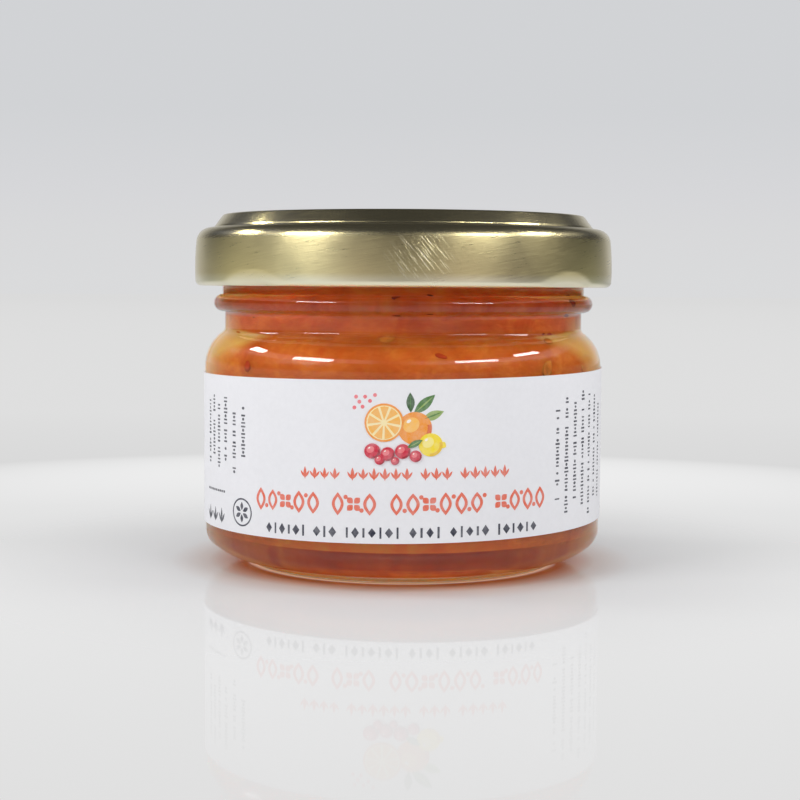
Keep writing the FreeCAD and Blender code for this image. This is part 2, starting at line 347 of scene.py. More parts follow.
# glass jar
jar = {
    "columns": 384,
    "wall": 2.6,
    "finishStep": 2.3,          # finish inside the body
    "neckStep": 0.32,           # neck inside the finish
    "shoulderHeight": 26.2,     # where the straight wall ends
    "shoulderRadius": 5.4,
    "neckFillet": 0.85,
    "innerLip": 1.5,
    "heelWidth": 5.9,
    "heelHeight": 4.6,
    "heelSideRadius": 2.6,
    "footHeight": 0.8,
    "footRound": 0.4,
    "footRoot": 0.25,
    "footWidth": 1.0,
    "pushUp": 1.2,
    "base": 3.7,
    "innerDome": 0.7,
    "innerCorner": 3.0,
    "beadRise": 8.3,
    "beadRadius": 1.15,
    "rimRound": 1.0,
    "outerSwell": 0.035,        # unevenness of the moulded outside
    "innerSwell": 0.14,         # unevenness of the blown inside
    "floorSwell": 0.1,          # unevenness of the inside's floor
    "swellPitch": 9.0,          # height of one swelling
    "swellReach": 2.2,          # how often it changes round the jar
    "swellSeed": 4.0,
    "swellFrom": 1.5,           # height where the unevenness begins, and over what height it comes and goes
    "swellFade": 6.0,
    "seamAzimuth": -76.0,       # one mould seam, the other is opposite
    "seamHeight": 0.08,
    "seamWidth": 0.42,
    "seamEnd": 8.0,             # below the mouth
    "footBars": 64,             # small bars moulded under the foot
    "footBarHeight": 0.12,
    "threads": 4,
    "threadDepth": 1.35,
    "threadBase": 1.9,
    "threadRise": 4.3,
    "threadPitch": 9.0,
    "threadTurns": 0.19,
    "threadStart": 36.0,        # azimuth from +X of the first thread's low end
    "threadSteps": 44,
    # across a thread: share of its depth out, share of its base up
    "threadProfile": [(-0.12, -0.5), (0.12, -0.5), (0.82, -0.36), (1.0, -0.2), (1.0, 0.04), (0.82, 0.2),
                      (0.12, 0.5), (-0.12, 0.5)],
    "threadBlunt": 10,          # the higher, the blunter its ends
    "ior": 1.5,
    "tint": (0.972, 0.985, 0.978),
    "smearSize": 60.0,
    "smearRough": 0.022,
    "rippleScale": 130.0,
    "ripple": (0.25, 0.2),      # strength and depth of the surface's fine waves
}
finishRadius = bodyRadius - jar["finishStep"]


def jarOutside():
    r = bodyRadius
    width, bend, bendHeight = jar["heelWidth"], jar["heelSideRadius"], jar["heelHeight"]
    footRound, footRoot, fill = jar["footRound"], jar["footRoot"], jar["neckFillet"]
    rim, beadRadius = jar["rimRound"], jar["beadRadius"]
    footOutside = r - width
    footFlat = footOutside - footRound
    footInside = footFlat - jar["footWidth"]
    side = (r - bend, bendHeight)
    rise = bendHeight - jar["footHeight"]
    lower = (width ** 2 + rise ** 2 - 2 * width * bend) / (2 * (rise - bend))
    heel = (footOutside, jar["footHeight"] + lower)
    heelTurn = bearing(heel, side)
    root = (footOutside + footRoot, heel[1] - math.sqrt((lower + footRoot) ** 2 - footRoot ** 2))
    rootTurn = bearing(heel, root)
    shoulder = (r - jar["shoulderRadius"], jar["shoulderHeight"])
    finish = finishRadius
    neck = finish - jar["neckStep"]
    reach = jar["shoulderRadius"] + fill
    filletX = neck + fill
    fillet = (filletX, shoulder[1] + math.sqrt(reach ** 2 - (filletX - shoulder[0]) ** 2))
    shoulderTurn = bearing(shoulder, fillet)
    bead = (finish, jar["shoulderHeight"] + jar["beadRise"])
    beadFoot = (neck, bead[1] - math.sqrt(beadRadius ** 2 - jar["neckStep"] ** 2))
    mouth = finish - jar["wall"]
    hollow = [(x, jar["pushUp"] * (1 - (x / footInside) ** 2)) for x in np.linspace(0, footInside, 24)]
    return joinStretches(
        hollow,
        line((footInside, 0), (footFlat, 0), 6),
        arc((footFlat, footRound), footRound, -90, 0, 8),
        line((footOutside, footRound), (footOutside, root[1]), 3),
        arc(root, footRoot, 180, rootTurn + 180, 6),
        arc(heel, lower, rootTurn, heelTurn, 16),
        arc(side, bend, heelTurn, 0, 14),
        line((r, bendHeight), (r, shoulder[1]), 24),
        arc(shoulder, jar["shoulderRadius"], 0, shoulderTurn, 18),
        arc(fillet, fill, shoulderTurn + 180, 180, 7),
        line((neck, fillet[1]), beadFoot, 4),
        arc(bead, beadRadius, bearing(bead, beadFoot), 90, 22),
        line((finish, bead[1] + beadRadius), (finish, rimHeight - rim), 10),
        arc((finish - rim, rimHeight - rim), rim, 0, 90, 8),
        arc((mouth + rim, rimHeight - rim), rim, 90, 180, 8))


def jarInside(sink, top):
    # the inside from the middle of the floor up to `top`; `sink` moves it into the glass
    wall = bodyRadius - jar["wall"] + sink
    corner = jar["innerCorner"] + sink
    floorEdge = wall - corner
    floor = jar["base"] - sink
    lower = jar["shoulderRadius"] - jar["wall"] + sink
    upper = jar["innerLip"] - sink
    mouth = finishRadius - jar["wall"] + sink
    shoulder = (wall - lower, jar["shoulderHeight"])
    lipX = mouth + upper
    lip = (lipX, shoulder[1] + math.sqrt((lower + upper) ** 2 - (lipX - shoulder[0]) ** 2))
    turn = bearing(shoulder, lip)
    dome = [(x, floor + jar["innerDome"] * (1 - (x / floorEdge) ** 2)) for x in np.linspace(0, floorEdge, 22)]
    return joinStretches(
        dome,
        arc((floorEdge, floor + corner), corner, -90, 0, 20),
        line((wall, floor + corner), (wall, shoulder[1]), 18),
        arc(shoulder, lower, 0, turn, 10),
        arc(lip, upper, turn + 180, 180, 8),
        line((mouth, lip[1]), (mouth, top), 12))


def swell(azimuth, height):
    # the glass's gentle unevenness, and how much of it the body takes
    reach, pitch, seed = jar["swellReach"], jar["swellPitch"], jar["swellSeed"]
    wave = np.array([noise.noise(Vector((math.sin(a) * reach, math.cos(a) * reach, h / pitch + seed)))
                     for a, h in zip(azimuth, height)])
    fade = jar["swellFade"]
    body = (np.clip((height - jar["swellFrom"]) / fade, 0, 1)
            * np.clip((jar["shoulderHeight"] + fade - height) / fade, 0, 1))
    return wave, body


def glassMaterial():
    material, make = newMaterial("clearGlass")
    smears = {"Size": jar["smearSize"], "Clean": 0.0, "Smeared": jar["smearRough"]}
    rough = make.group(handling, smears)["Roughness"]
    ripple = make.noise(make.point((1, 1, 0.6)), jar["rippleScale"])
    glass = make.out("ShaderNodeBsdfPrincipled", {
        "Base Color": (*jar["tint"], 1), "Roughness": rough, "IOR": jar["ior"],
        "Transmission Weight": 1.0, "Normal": make.bump(ripple, *jar["ripple"])})[0]
    clear = make.out("ShaderNodeBsdfTransparent")[0]
    shadowRay = make.out("ShaderNodeLightPath")["Is Shadow Ray"]
    make.surface(make.out("ShaderNodeMixShader", {0: shadowRay, 1: glass, 2: clear})[0])
    return material


def makeJar():
    mouthTop = rimHeight - jar["rimRound"]
    outline = joinStretches(jarOutside(), reversed(jarInside(0.0, mouthTop)))
    piece = turnOutline("jarGlass", outline, jar["columns"], glassMaterial())

    def rule(radius, azimuth, height):
        inside = ((radius < bodyRadius - jar["wall"] + 0.01) & (height > jar["base"] - 0.01)
                  & (radius < finishRadius - 1.2))
        wave, body = swell(azimuth, height)
        radius = radius + np.where(inside, jar["innerSwell"], jar["outerSwell"]) * wave * body
        height = height + np.where(inside & (height < jar["base"] + 2), jar["floorSwell"] * wave, 0)
        for turn in (jar["seamAzimuth"], jar["seamAzimuth"] + 180):
            away = np.angle(np.exp(1j * (azimuth - math.radians(turn)))) * radius
            ridge = (np.exp(-(away / jar["seamWidth"]) ** 2) * (height > 0.3)
                     * (height < mouthTop - jar["seamEnd"]) * ~inside)
            radius = radius + jar["seamHeight"] * ridge * (radius < bodyRadius + 0.2)
        footInside = bodyRadius - jar["heelWidth"] - jar["footRound"] - jar["footWidth"]
        foot = (height < 0.001) & (radius > footInside - 0.01)
        bars = 0.5 + 0.5 * np.cos(azimuth * jar["footBars"])
        return radius, azimuth, np.where(foot, jar["footBarHeight"] * bars, height)

    reshape(piece, rule)
    return settle(piece, "glass_jar")


# threads round the mouth
def makeRingTree():
    # copies of one mark, evenly spaced round the axis
    make, given = newGeometryTree("ringOfMarks", {"Mark": "Geometry", "Count": "Int"})
    points = make.out("GeometryNodePoints", {"Count": given["Count"]})[0]
    step = make.maths("DIVIDE", math.tau, given["Count"])
    turned = make.vector(0.0, 0.0, make.times(make.out("GeometryNodeInputIndex")[0], step))
    return make.coated(make.instances(points, given["Mark"], Rotation=turned), given["Material"])


def makeThreads(material):
    foot = jar["shoulderHeight"] + jar["beadRise"] + jar["threadRise"]
    profile, steps = jar["threadProfile"], jar["threadSteps"]
    corners = len(profile)
    places, faces = [], []
    for i in range(steps + 1):
        along = i / steps
        fade = math.sqrt(max(0.0, 1 - (2 * along - 1) ** jar["threadBlunt"])) * 0.98 + 0.02
        turn = math.radians(jar["threadStart"] + 360 * jar["threadTurns"] * along)
        middle = foot + jar["threadPitch"] * jar["threadTurns"] * along + jar["threadBase"] / 2
        for out, up in profile:
            radius = finishRadius + jar["threadDepth"] * out * (fade if out > 0 else 1)
            places.append(Vector((radius * math.cos(turn), radius * math.sin(turn),
                                  middle + jar["threadBase"] * up * fade)) * mm)
    for start in range(0, steps * corners, corners):
        for j in range(corners):
            k = (j + 1) % corners
            faces.append([start + j, start + k, start + corners + k, start + corners + j])
    faces += [list(range(corners)), list(range(steps * corners, (steps + 1) * corners))]
    mesh = bpy.data.meshes.new("threadMark")
    mesh.from_pydata(places, [], faces)
    piece = runNodes("glassThreads", mesh, makeRingTree(), {"Count": jar["threads"], "Material": material})
    turnOutwards(piece.data)
    smoothFaces(piece.data)
    settle(piece, "glass_jar")


# compote
compote = {
    "columns": 256,
    "sink": 0.09,               # how far it reaches into the wall, so that no air gap shows
    "deep": (0.44, 0.084, 0.012),
    "middle": (0.52, 0.118, 0.018),
    "pale": (0.62, 0.185, 0.028),
    # painted light and shade by height and, on the underside, by distance from the axis, as half strengths
    "lightShadeByHeight": [(0.135, (0.68, 0.76, 0.66)), (0.16, (0.54, 0.60, 0.60)), (0.66, (0.54, 0.58, 0.54)),
                  (0.76, (0.52, 0.50, 0.52)), (0.80, (0.62, 0.50, 0.60)), (0.86, (0.86, 0.74, 0.95)),
                  (1.0, (1.0, 0.90, 1.0))],
    "heelLightShade": [(0.0, (1.0, 1.0, 1.0)), (0.35, (0.95, 0.90, 0.9)), (0.50, (0.80, 0.62, 0.60)),
                   (0.71, (0.66, 0.42, 0.46)), (0.77, (0.42, 0.20, 0.34)), (0.86, (0.38, 0.16, 0.32)),
                   (0.89, (0.46, 0.26, 0.36)), (0.905, (1.0, 1.0, 0.78)), (1.0, (1.0, 1.0, 0.78))],
    "lightShadeHeightSpan": (0.0, 0.040),   # the heights (m) that the painted light and shade by height covers
    "heelLightShadeSpan": (0.014, 0.024),        # the distances (m) that the painted light and shade on the underside covers
    "lowSpan": (0.0064, 0.0054),        # from the side's tones to the underside's, by height (m)
    "frontFacing": (0.13, 0.04),        # the underside's painted tones show where the side faces the front
    # painted light on the compote's underside, strongest near the middle of the floor
    "underside": (0.66, 0.42, 0.17),
    "undersideSpan": (0.0178, 0.0160),
    "bruiseSpan": (0.66, 0.76),
    "bruise": (0.44, 0.035, 0.010),
    "paintedEdgeLight": (0.74, 0.43, 0.125),         # painted light: paler and yellower where the side is seen edge on
    "paintedEdgeLightLow": (0.86, 0.40, 0.11),
    "edgeLightFacing": (0.185, 0.24),
    "edgeLightSpan": (0.0335, 0.0305),       # and below the shoulder only, by height (m)
    "scatter": (1.0, 0.36, 0.10),
    "scatterScale": 0.0040,
    "specular": 0.06,           # low, because it lies against the glass
}


def compoteMaterial():
    material, make = newMaterial("fruitPulp")
    place = make.point()
    lumps = make.noise(place, 190.0, 4.0, 0.55, 0.9)
    fibres = make.noise(make.point((1, 1, 2.6), (0.5, 0.2, 0.0)), 560.0, 3.0, distortion=1.6)
    both = make.blend(lumps, 0.72, fibres, 0.28)
    mottled = make.ramp(both, [(0.34, compote["deep"]), (0.50, compote["middle"]), (0.68, compote["pale"])])
    # painted light and shade: paler towards the neck and under the label, a painted dark band round the lower
    # edge, and painted light on the underside
    height = make.parts(place)["Z"]
    heightLightShade = make.ramp(make.ranged(height, *compote["lightShadeHeightSpan"]), compote["lightShadeByHeight"])
    across = make.length(make.point((1, 1, 0)))
    heelLightShading = make.ramp(make.ranged(across, *compote["heelLightShadeSpan"]), compote["heelLightShade"])
    low = make.ranged(height, *compote["lowSpan"])
    # the facing of the side alone, so that the shoulder's slope adds nothing to it
    normal = make.out("ShaderNodeNewGeometry")["Normal"]
    sideways = make.vectors("NORMALIZE", {0: make.vectors("MULTIPLY", {0: normal, 1: (1, 1, 0)})[0]})[0]
    edge = make.out("ShaderNodeLayerWeight", {"Blend": 0.35, "Normal": sideways})["Facing"]
    front = make.ranged(edge, *compote["frontFacing"], 0.25)
    zone = make.mix(make.times(low, front), heightLightShade, heelLightShading)
    colour = make.vectors("SCALE", {0: make.mix(1.0, mottled, zone, "MULTIPLY"), "Scale": 2.0})[0]
    spot = make.ranged(make.noise(place, 230.0, 1.0), *compote["bruiseSpan"], 0.0, 0.7)
    colour = make.mix(spot, colour, compote["bruise"])
    # painted light on the underside, near the middle and low down
    underside = make.times(make.ranged(across, *compote["undersideSpan"]), low)
    colour = make.mix(underside, colour, compote["underside"])
    # painted light where the side is seen edge on, below the shoulder only
    belowShoulder = make.ranged(height, *compote["edgeLightSpan"], 0.3)
    paintedEdgeLight = make.times(make.ranged(edge, *compote["edgeLightFacing"]), belowShoulder)
    colour = make.mix(paintedEdgeLight, colour, make.mix(low, compote["paintedEdgeLight"], compote["paintedEdgeLightLow"]))
    make.principled({
        "Base Color": colour, "Roughness": 0.12, "Specular IOR Level": compote["specular"],
        "Subsurface Weight": 1.0, "Subsurface Radius": compote["scatter"],
        "Subsurface Scale": compote["scatterScale"], "Normal": make.bump(both, 0.35, 0.3)})
    return material


def makeCompote():
    inside = jarInside(compote["sink"], fillLevel)
    outline = joinStretches(inside, line((inside[-1][0], fillLevel), (0, fillLevel), 16))
    piece = turnOutline("compote", outline, compote["columns"], compoteMaterial())

    def rule(radius, azimuth, height):
        wave, body = swell(azimuth, height)
        side = (height < fillLevel - 0.01) & (radius > 1)
        radius = radius + np.where(side, jar["innerSwell"], 0) * wave * body
        return radius, azimuth, height + np.where(height < jar["base"] + 2, jar["floorSwell"] * wave, 0)

    reshape(piece, rule)
    return settle(piece, "fruit_dessert")


# bits of fruit that show at the glass
bits = {
    # how many on a square metre, size and thickness (mm), seed, colour
    "kinds": {"redBits": (9000.0, 0.5, 0.10, 6, (0.50, 0.055, 0.014)),
              "paleBits": (9000.0, 0.6, 0.10, 23, (0.68, 0.20, 0.032)),
              "darkBits": (3600.0, 0.3, 0.12, 42, (0.24, 0.030, 0.010))},
    "lowest": 7.5,              # above the heel
    "lumpiness": 0.35,
}


def makeBitsTree():
    # small flattened bits set into a surface, each sized and turned by chance
    make, given = newGeometryTree("setInBits", {
        "Surface": "Geometry", "Mark": "Object", "Density": "Float", "Size": "Float", "Thickness": "Float",
        "Lowest": "Float", "Seed": "Int"})
    seed, size = given["Seed"], given["Size"]

    def chance(low, high, draw):
        return make.out("FunctionNodeRandomValue", {2: low, 3: high, "Seed": draw}, data_type="FLOAT")[1]

    height = make.parts(make.out("GeometryNodeInputPosition")[0])["Z"]
    high = make.maths("GREATER_THAN", height, given["Lowest"])
    spread = make.out("GeometryNodeDistributePointsOnFaces", {
        "Mesh": given["Surface"], "Selection": high, "Density": given["Density"], "Seed": seed},
        distribute_method="RANDOM")
    spun = make.out("FunctionNodeRotateRotation", {
        "Rotation": spread["Rotation"], "Rotate By": make.vector(0.0, 0.0, chance(0.0, math.tau, seed))},
        rotation_space="LOCAL")[0]
    scale = make.vector(make.times(size, chance(0.35, 1.3, seed)),
                        make.times(size, chance(0.4, 1.7, make.plus(seed, 1.0))), given["Thickness"])
    marks = make.instances(spread["Points"], make.shapeOf(given["Mark"]), Rotation=spun, Scale=scale)
    return make.coated(marks, given["Material"])


def bitMaterial(name, colour):
    material, make = newMaterial(name + "Flesh")
    grain = make.noise(make.point(), 900.0, 3.0)
    make.principled({
        "Base Color": make.ramp(grain, [(0.35, scaled(colour, 0.7)), (0.65, colour)]), "Roughness": 0.2,
        "Specular IOR Level": compote["specular"], "Subsurface Weight": 0.6,
        "Subsurface Radius": compote["scatter"], "Subsurface Scale": compote["scatterScale"] / 4})
    return material


def makeBits(filling):
    tree = makeBitsTree()
    for name, (density, size, thickness, seed, colour) in bits["kinds"].items():
        work = bmesh.new()
        bmesh.ops.create_icosphere(work, subdivisions=2, radius=1.0)
        for corner in work.verts:
            corner.co *= 1 + bits["lumpiness"] * noise.noise(corner.co * 1.3 + Vector((seed, 0, 0)))
        mark = newObject(name + "Mark", meshOf(name + "Mark", work))
        piece = runNodes(name, filling.data.copy(), tree, {
            "Mark": mark, "Density": density, "Size": size * mm, "Thickness": thickness * mm,
            "Lowest": bits["lowest"] * mm, "Seed": seed, "Material": bitMaterial(name, colour)})
        bpy.data.objects.remove(mark)
        smoothFaces(piece.data)
        settle(piece, "fruit_dessert")


# cap
cap = {
    "columns": 420,
    "sheet": 0.24,
    "curlRadius": 0.75,
    "curlSweep": 240.0,
    "shoulder": 1.8,
    "crownHeight": 1.76,
    "crownFoot": 25.3,          # radius at the foot of the crown
    "crownBatter": 1.0,
    "crownRound": 0.45,
    "crownInside": 20.9,
    "panelSlope": 0.6,
    "panelDrop": 1.0,
    "panelRound": 0.3,
    # the foot of the crown: out from its radius, up from the ledge
    "crownFacets": [(-0.17, 0.34), (-0.07, 0.20), (-0.07, 0.05), (0.06, 0.0)],
    "lugs": 4,
    "lugAzimuth": -42.0,        # from the front towards +X
    "lugHalfAngle": 15.0,
    "lugSoft": 0.8,             # degrees over which a lug begins
    "lugReach": 1.05,           # how far a lug stands in from the rolled edge
    "lugFrom": 0.6,             # share of the rolled edge that a lug leaves as it is
    "lugFlat": 0.35,            # how much flatter the edge is at a lug, from this height above its foot
    "lugFoot": 0.3,
    "dentDepth": 0.75,
    "dentHeight": 2.0,
    "dentEdge": 0.05,           # softness of the dent's edge
    "barrel": 0.2,              # how far the skirt draws in under the shoulder
    "waist": 0.3,               # share of the skirt below its widest line
    "metal": (0.80, 0.69, 0.345),
    "dark": (0.70, 0.585, 0.27),
    "bare": (0.96, 0.92, 0.82),
    "foot": (0.97, 0.92, 0.68),         # painted reflection: the rolled edge made paler, as if it mirrored the bright floor
    # lines in the metal: their angle, how fine along and across, and detail
    "brush": (-9, 260, 5200, 4.0),
    "fineBrush": (4, 900, 9000, 2.0),
    "scratches": (52, 300, 5600, 3.0),
    "skirtRough": 0.30,
    "crownRough": 0.2,
    "scratchPlace": (2.0, 12.6, 0.0),   # round from the front, and up less out
    "scratchSpan": (5.0, 1.5),          # the scratches fade out over this distance
    "crownSpan": (-1.7, -0.9),          # the crown's finish begins here, from the ledge
    "curlReflectionSpan": (1.7, 0.6),             # the painted reflection on the rolled edge, from the cap's foot
}


def capOutside():
    # from the middle of the panel out and down to the end of the rolled edge
    ledge = capTop - cap["crownHeight"]
    foot, inside, crownRound = cap["crownFoot"], cap["crownInside"], cap["crownRound"]
    barrel, waist, bend, curlRadius = cap["barrel"], cap["waist"], cap["shoulder"], cap["curlRadius"]
    edge = foot - cap["crownBatter"]
    panelEdge = inside - cap["panelSlope"]
    panel = capTop - cap["panelDrop"]
    small = cap["panelRound"]
    crownLean = bearing((edge, capTop - crownRound), (foot, ledge))
    above = 1 - waist
    curlIn = barrel * (waist / above) ** 2
    curl = (capRadius - curlIn - curlRadius, capFoot + curlRadius)
    crown = (edge - crownRound, capTop - crownRound)
    lean = math.degrees(math.atan(2 * barrel / above / (ledge - bend - curl[1])))
    shoulder = (capRadius - barrel - bend * math.cos(math.radians(lean)), ledge - bend)
    skirt = shoulder[1] + bend * math.sin(math.radians(lean)) - curl[1]
    return joinStretches(
        line((0, panel), (panelEdge - small, panel), 8),
        line((panelEdge, panel + 0.12), (inside - 0.1, capTop - 0.18), 5),
        line((inside + small, capTop), (crown[0], capTop), 8),
        arc(crown, crownRound, 90, crownLean + 90, 10),
        [(foot + out, ledge + up) for out, up in cap["crownFacets"]],
        arc(shoulder, bend, 90, lean, 22),
        [(capRadius - barrel * ((up - waist) / above) ** 2, curl[1] + up * skirt)
         for up in np.linspace(1, 0, 26) ** 1.4],
        arc(curl, curlRadius, 0, -cap["curlSweep"], 30))


def insetOutline(points, depth):
    # the same outline moved in by the sheet's thickness
    places = np.array(points)
    along = np.gradient(places, axis=0)
    along /= np.linalg.norm(along, axis=1)[:, None]
    moved = places + np.stack([along[:, 1], -along[:, 0]], 1) * depth
    moved[0, 0] = 0.0
    return [tuple(p) for p in moved]


def streaks(make, flat, turn, along, across, detail):
    # fine lines that lie at this angle round the axis
    lie = make.mapped(flat, turn=(0, 0, math.radians(turn)))
    return make.noise(make.mapped(lie, (along, across, 1)), 1.0, detail, 0.6)


def metalMaterial():
    material, make = newMaterial("satinGoldTinplate")
    around = make.group(aroundPoint, {"Radius": capRadius * mm})
    flat, height = around["Vector"], around["Height"]
    brush, fine, steep = [streaks(make, flat, *cap[name]) for name in ("brush", "fineBrush", "scratches")]
    soft = make.noise(make.point(), 45.0, 3.0)
    clean = cap["skirtRough"]
    smear = make.group(handling, {"Size": 110.0, "Clean": clean, "Smeared": clean + 0.06})["Roughness"]
    ledge = (capTop - cap["crownHeight"]) * mm
    upper = make.ranged(height, *[ledge + up * mm for up in cap["crownSpan"]])
    rough = make.ranged(upper, 0.0, 1.0, smear, cap["crownRough"])
    rough = make.plus(rough, make.times(make.minus(brush, 0.5), 0.2))
    # a patch of steep scratches at the front
    place = scaled(cap["scratchPlace"], mm)
    away = make.vectors("DISTANCE", {0: flat, 1: place})["Value"]
    patch = make.ranged(away, *scaled(cap["scratchSpan"], mm), smooth=True)
    scratch = make.times(make.ranged(steep, 0.55, 0.68), patch)
    tone = make.ranged(make.blend(brush, 0.5, soft, 0.5), 0.36, 0.64)
    colour = make.mix(tone, cap["dark"], cap["metal"])
    colour = make.mix(make.times(scratch, 0.75), colour, cap["bare"])
    relief = make.minus(make.blend(brush, 0.45, fine, 0.9), make.times(scratch, 1.3))
    # painted reflection on the rolled edge
    curlReflection = make.ranged(height, *[(capFoot + up) * mm for up in cap["curlReflectionSpan"]])
    make.principled({
        "Base Color": make.mix(curlReflection, colour, cap["foot"]), "Metallic": 1.0, "Roughness": rough,
        "Anisotropic": 0.6, "Anisotropic Rotation": 0.25, "Coat Weight": 1.0, "Coat Roughness": 0.4,
        "Coat IOR": 1.65, "Normal": make.bump(relief, 0.3, 0.05)})
    return material


def makeCap():
    outside = capOutside()
    outline = joinStretches(outside, reversed(insetOutline(outside, cap["sheet"])))
    piece = turnOutline("twistCap", outline, cap["columns"], metalMaterial())
    quarter = math.tau / cap["lugs"]
    curlRadius = cap["curlRadius"]

    def rule(radius, azimuth, height):
        away = (azimuth - math.radians(cap["lugAzimuth"]) + quarter / 2) % quarter - quarter / 2
        # the dents, flat outside each lug
        share = np.clip(1 - (height - capFoot) / cap["dentHeight"], 0, 1)
        plane = (capRadius - cap["dentDepth"] * share) / np.cos(away)
        plane = plane + np.where(share > 0, 0, 5)
        soft = cap["dentEdge"]
        limit = radius - soft * np.logaddexp(0, (radius - plane) / soft)
        dented = (radius > capRadius - curlRadius) & (height < capFoot + cap["dentHeight"] + 0.4)
        radius = np.where(dented, limit, radius)
        # the lugs, drawn in from the rolled edge
        lug = 1 / (1 + np.exp((np.abs(np.degrees(away)) - cap["lugHalfAngle"]) / cap["lugSoft"]))
        inward = np.clip((capRadius - curlRadius * cap["lugFrom"] - radius) / curlRadius, 0, 1)
        curl = (height < capFoot + 2 * curlRadius + 0.05) & (radius > 24)
        radius = radius - np.where(curl, cap["lugReach"] * inward * lug, 0)
        flattened = (height - capFoot - cap["lugFoot"]) * cap["lugFlat"] * inward * lug
        height = height - np.where(curl, flattened, 0)
        return radius, azimuth, height

    reshape(piece, rule)
    settle(piece, "lid")


# label
label = {
    "columns": 260,
    "rows": 10,
    "paper": 0.12,
    "wrap": 325.0,
    "skew": 1.9,                # rise in a full turn
    "low": 6.0,                 # edges at the front
    "high": 25.7,
    "colour": (0.82, 0.82, 0.85),
}


def labelPoint(across, up, lift):
    # a place on the label: mm along it from the front, mm above its lower edge, mm proud of the paper
    turn = across / paperOutside
    radius = paperOutside + lift
    height = label["low"] + up + label["skew"] * turn / math.tau
    return Vector((radius * math.sin(turn), -radius * math.cos(turn), height)) * mm


def paperMaterial():
    material, make = newMaterial("labelPaper")
    place = make.point()
    fibre = make.noise(place, 1500.0, 5.0, 0.6)
    both = make.blend(fibre, 0.6, make.noise(place, 120.0), 0.4)
    colour = make.ramp(both, [(0.35, scaled(label["colour"], 0.96)), (0.65, label["colour"])])
    make.principled({"Base Color": colour, "Roughness": 0.62, "Specular IOR Level": 0.3,
                     "Normal": make.bump(fibre, 0.2, 0.03)})
    return material


def makePaper():
    half = math.radians(label["wrap"]) / 2 * paperOutside
    rise = label["high"] - label["low"]
    columns, rows = label["columns"], label["rows"]
    vertices = [labelPoint(half * (2 * i / columns - 1), rise * j / rows, lift)
                for lift in (0.0, -label["paper"]) for i in range(columns + 1) for j in range(rows + 1)]
    faces = []

    def at(side, i, j):
        return (side * (columns + 1) + i) * (rows + 1) + j

    for i in range(columns):
        for j in range(rows):
            faces.append([at(0, i, j), at(0, i + 1, j), at(0, i + 1, j + 1), at(0, i, j + 1)])
            faces.append([at(1, i, j), at(1, i, j + 1), at(1, i + 1, j + 1), at(1, i + 1, j)])
        for j in (0, rows):
            faces.append([at(0, i, j), at(0, i + 1, j), at(1, i + 1, j), at(1, i, j)])
    for j in range(rows):
        for i in (0, columns):
            faces.append([at(0, i, j), at(0, i, j + 1), at(1, i, j + 1), at(1, i, j)])
    mesh = bpy.data.meshes.new("paperLabel")
    mesh.from_pydata(vertices, [], faces)
    turnOutwards(mesh)
    smoothFaces(mesh)
    piece = newObject("paperLabel", mesh, paperMaterial())
    piece.data.set_sharp_from_angle(angle=math.radians(40))
    settle(piece, "label")


# print on the label: thin closed shapes in plain colours, without any lettering
ink = {
    "thick": 0.018,
    "sink": 0.006,
    "flat": 0.7,                # longest straight stretch round the jar
    "coral": (0.76, 0.135, 0.070),
    "navy": (0.030, 0.032, 0.055),
    "slate": (0.060, 0.062, 0.080),
    "leaf": (0.075, 0.20, 0.045),
    "leafPale": (0.30, 0.42, 0.13),
    "leafDark": (0.030, 0.10, 0.022),
    "peel": (0.87, 0.30, 0.020),
    "peelDark": (0.70, 0.13, 0.012),
    "peelPale": (0.94, 0.50, 0.095),
    "pith": (0.93, 0.78, 0.42),
    "flesh": (0.90, 0.45, 0.075),
    "lemon": (0.90, 0.70, 0.020),
    "lemonPale": (0.93, 0.80, 0.22),
    "lemonDark": (0.80, 0.50, 0.015),
    "berry": (0.60, 0.018, 0.050),
    "berryDark": (0.33, 0.010, 0.025),
    "berryPale": (0.82, 0.16, 0.18),
    "shine": (0.95, 0.88, 0.80),
}
picture = {
    # leaves: foot, tip, width, body and vein
    "leaves": [((1.3, 15.6), (3.9, 17.9), 1.25, "leaf", "leafPale"),
               ((1.0, 15.8), (0.9, 18.2), 1.0, "leafDark", "leaf"),
               ((2.3, 14.9), (5.0, 15.9), 1.1, "leafPale", "leaf")],
    "frontLeaf": ((0.6, 11.6), (2.4, 12.5), 0.75, "leaf", "leafPale"),
    "berries": [(-3.6, 11.2, 0.95), (-1.75, 10.85, 0.85), (0.05, 11.15, 0.92), (-2.7, 10.15, 0.62),
                (1.6, 10.55, 0.72), (-0.85, 10.0, 0.5)],
    "drops": [(-5.2, 17.1), (-4.5, 17.7), (-3.9, 17.2), (-4.8, 16.5), (-5.8, 16.4), (-3.3, 17.9),
              (-5.6, 17.7)],
    "cut": (-2.2, 14.6),
    "cutRadius": 2.35,
    "wedges": 9,
}
rows = {
    # lengths of the groups, first place, step, gap between groups, height on the label
    "garland": ([5, 3, 6, 4], -19.0, 1.98, 1.25, 4.75),
    "sprigs": ([4, 6, 3, 5], -12.2, 1.32, 0.9, 8.35),
    "foot": ([6, 3, 7, 4, 5, 6], -17.6, 1.03, 0.82, 1.3),
    # columns at the sides: place, lower and upper end
    "sides": [(-32.0, 8.0, 16.6), (-30.3, 9.6, 17.2), (-28.6, 7.6, 16.2), (-26.6, 8.6, 17.6),
              (-24.4, 7.2, 15.4), (-22.4, 9.8, 16.0), (21.6, 4.2, 15.4), (23.5, 2.4, 17.0), (25.5, 4.0, 16.4),
              (27.6, 3.0, 17.6), (29.7, 1.6, 16.8), (31.8, 3.6, 17.2), (34.0, 2.8, 15.8)],
    "sideStep": 0.46,
}


